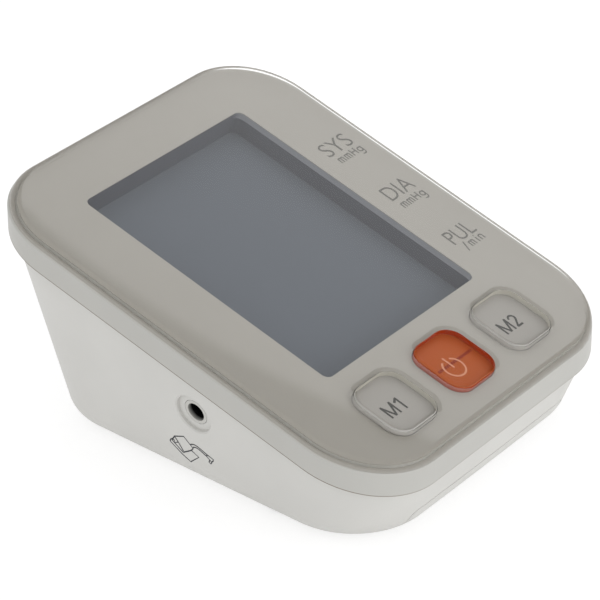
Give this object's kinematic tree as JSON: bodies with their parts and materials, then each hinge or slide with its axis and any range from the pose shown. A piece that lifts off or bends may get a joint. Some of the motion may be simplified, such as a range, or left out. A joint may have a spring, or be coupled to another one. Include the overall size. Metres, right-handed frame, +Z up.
{
  "type": "talking blood pressure monitor",
  "caption": "Table-top blood pressure monitor with a tilted clear front, a recessed display, a row of square press keys, a hose socket in its side and a speaker for spoken results.",
  "frame": {"origin": "under the middle of the case's overall box, on the surface that its feet stand on", "axes": "+X to the user's right, +Y from the low front end with the keys to the high rear end, +Z up"},
  "size_m": [0.1018, 0.1139, 0.0604],
  "materials": {
    "shell": "fine matte, warm white",
    "cover": "smooth satin, light warm grey",
    "lens": "clear, polished",
    "film": "printed beige under the clear plate",
    "window_frame": "dark grey",
    "display_glass": "grey display face",
    "foil": "satin foil",
    "strip": "striped rubber",
    "foam": "open foam",
    "board": "green solder mask",
    "steel": "zinc-plated",
    "chip": "black moulded package",
    "can": "drawn can",
    "ribbon": "flat ribbon",
    "key_clear": "clear, polished",
    "key_print": "printed beige",
    "key_orange": "orange, see-through",
    "key_orange_print": "printed orange",
    "switch": "black moulded",
    "socket": "light grey moulded",
    "white_part": "natural white moulded",
    "hose": "milky silicone",
    "cell": "printed sleeve",
    "contact": "nickel-plated",
    "foot": "soft grey rubber",
    "copper": "enamelled copper winding",
    "paper": "pressed paper",
    "black_part": "black moulded"
  },
  "bodies": {
    "case": {"lower_shell": "shell", "top_cover": "cover", "front_lens": "lens", "panel_film": "film", "display_frame": "window_frame", "lcd_glass": "display_glass", "lcd_reflector": "foil", "lcd_connector": "strip", "lcd_foam_strips": "foam", "main_board": "board", "board_screws": "steel", "microcontroller": "chip", "speech_chip": "chip", "board_capacitors": "can", "key_board": "board", "key_board_screws": "steel", "flat_cable": "ribbon", "switch_housings": "switch", "aa_cells": "cell", "contact_plates": "contact", "contact_springs": "contact", "rubber_feet": "foot", "case_screws": "steel", "air_socket": "socket", "air_manifold": "white_part", "pressure_sensor": "white_part", "socket_hose": "hose", "pump_hose": "hose", "valve_hose": "hose", "sensor_hose": "hose", "pump_motor_can": "can", "pump_housing": "black_part", "pump_diaphragm": "foam", "pump_cover": "black_part", "pump_sleeve": "foam", "valve_frame": "steel", "valve_coil": "copper", "valve_cap": "black_part", "speaker_frame": "steel", "speaker_cone": "paper", "speaker_magnet": "can", "dc_jack": "black_part"},
    "key_m1": {"key_m1_cap": "key_clear", "key_m1_base": "key_print", "m1_switch_plunger": "switch"},
    "key_power": {"key_power_cap": "key_orange", "key_power_base": "key_orange_print", "power_switch_plunger": "switch"},
    "key_m2": {"key_m2_cap": "key_clear", "key_m2_base": "key_print", "m2_switch_plunger": "switch"},
    "battery_door": {"battery_door": "shell"},
    "pump_spindle": {"pump_rotor": "copper", "pump_shaft": "steel", "pump_crank": "white_part"},
    "valve_plunger": {"valve_plunger": "steel"}
  },
  "joints": [
    {"name": "key_m1_press", "type": "slide", "parent": "case", "child": "key_m1", "axis": [0, 0.3171, -0.9484], "range_m": [0, 0.0006], "stiffness_N_per_m": 800, "springref_m": -0.0005},
    {"name": "key_power_press", "type": "slide", "parent": "case", "child": "key_power", "axis": [0, 0.3171, -0.9484], "range_m": [0, 0.0006], "stiffness_N_per_m": 800, "springref_m": -0.0005},
    {"name": "key_m2_press", "type": "slide", "parent": "case", "child": "key_m2", "axis": [0, 0.3171, -0.9484], "range_m": [0, 0.0006], "stiffness_N_per_m": 800, "springref_m": -0.0005},
    {"name": "battery_door_slide", "type": "slide", "parent": "case", "child": "battery_door", "axis": [0, -1, 0], "range_m": [0, 0.048]},
    {"name": "pump_spin", "type": "hinge", "parent": "case", "child": "pump_spindle", "pos_m": [0.01, 0.0235, 0.0152], "axis": [1, 0, 0], "continuous": true},
    {"name": "valve_lift", "type": "slide", "parent": "case", "child": "valve_plunger", "axis": [0, 0, 1], "range_m": [0, 0.0008], "stiffness_N_per_m": 200, "springref_m": -0.001}
  ]
}
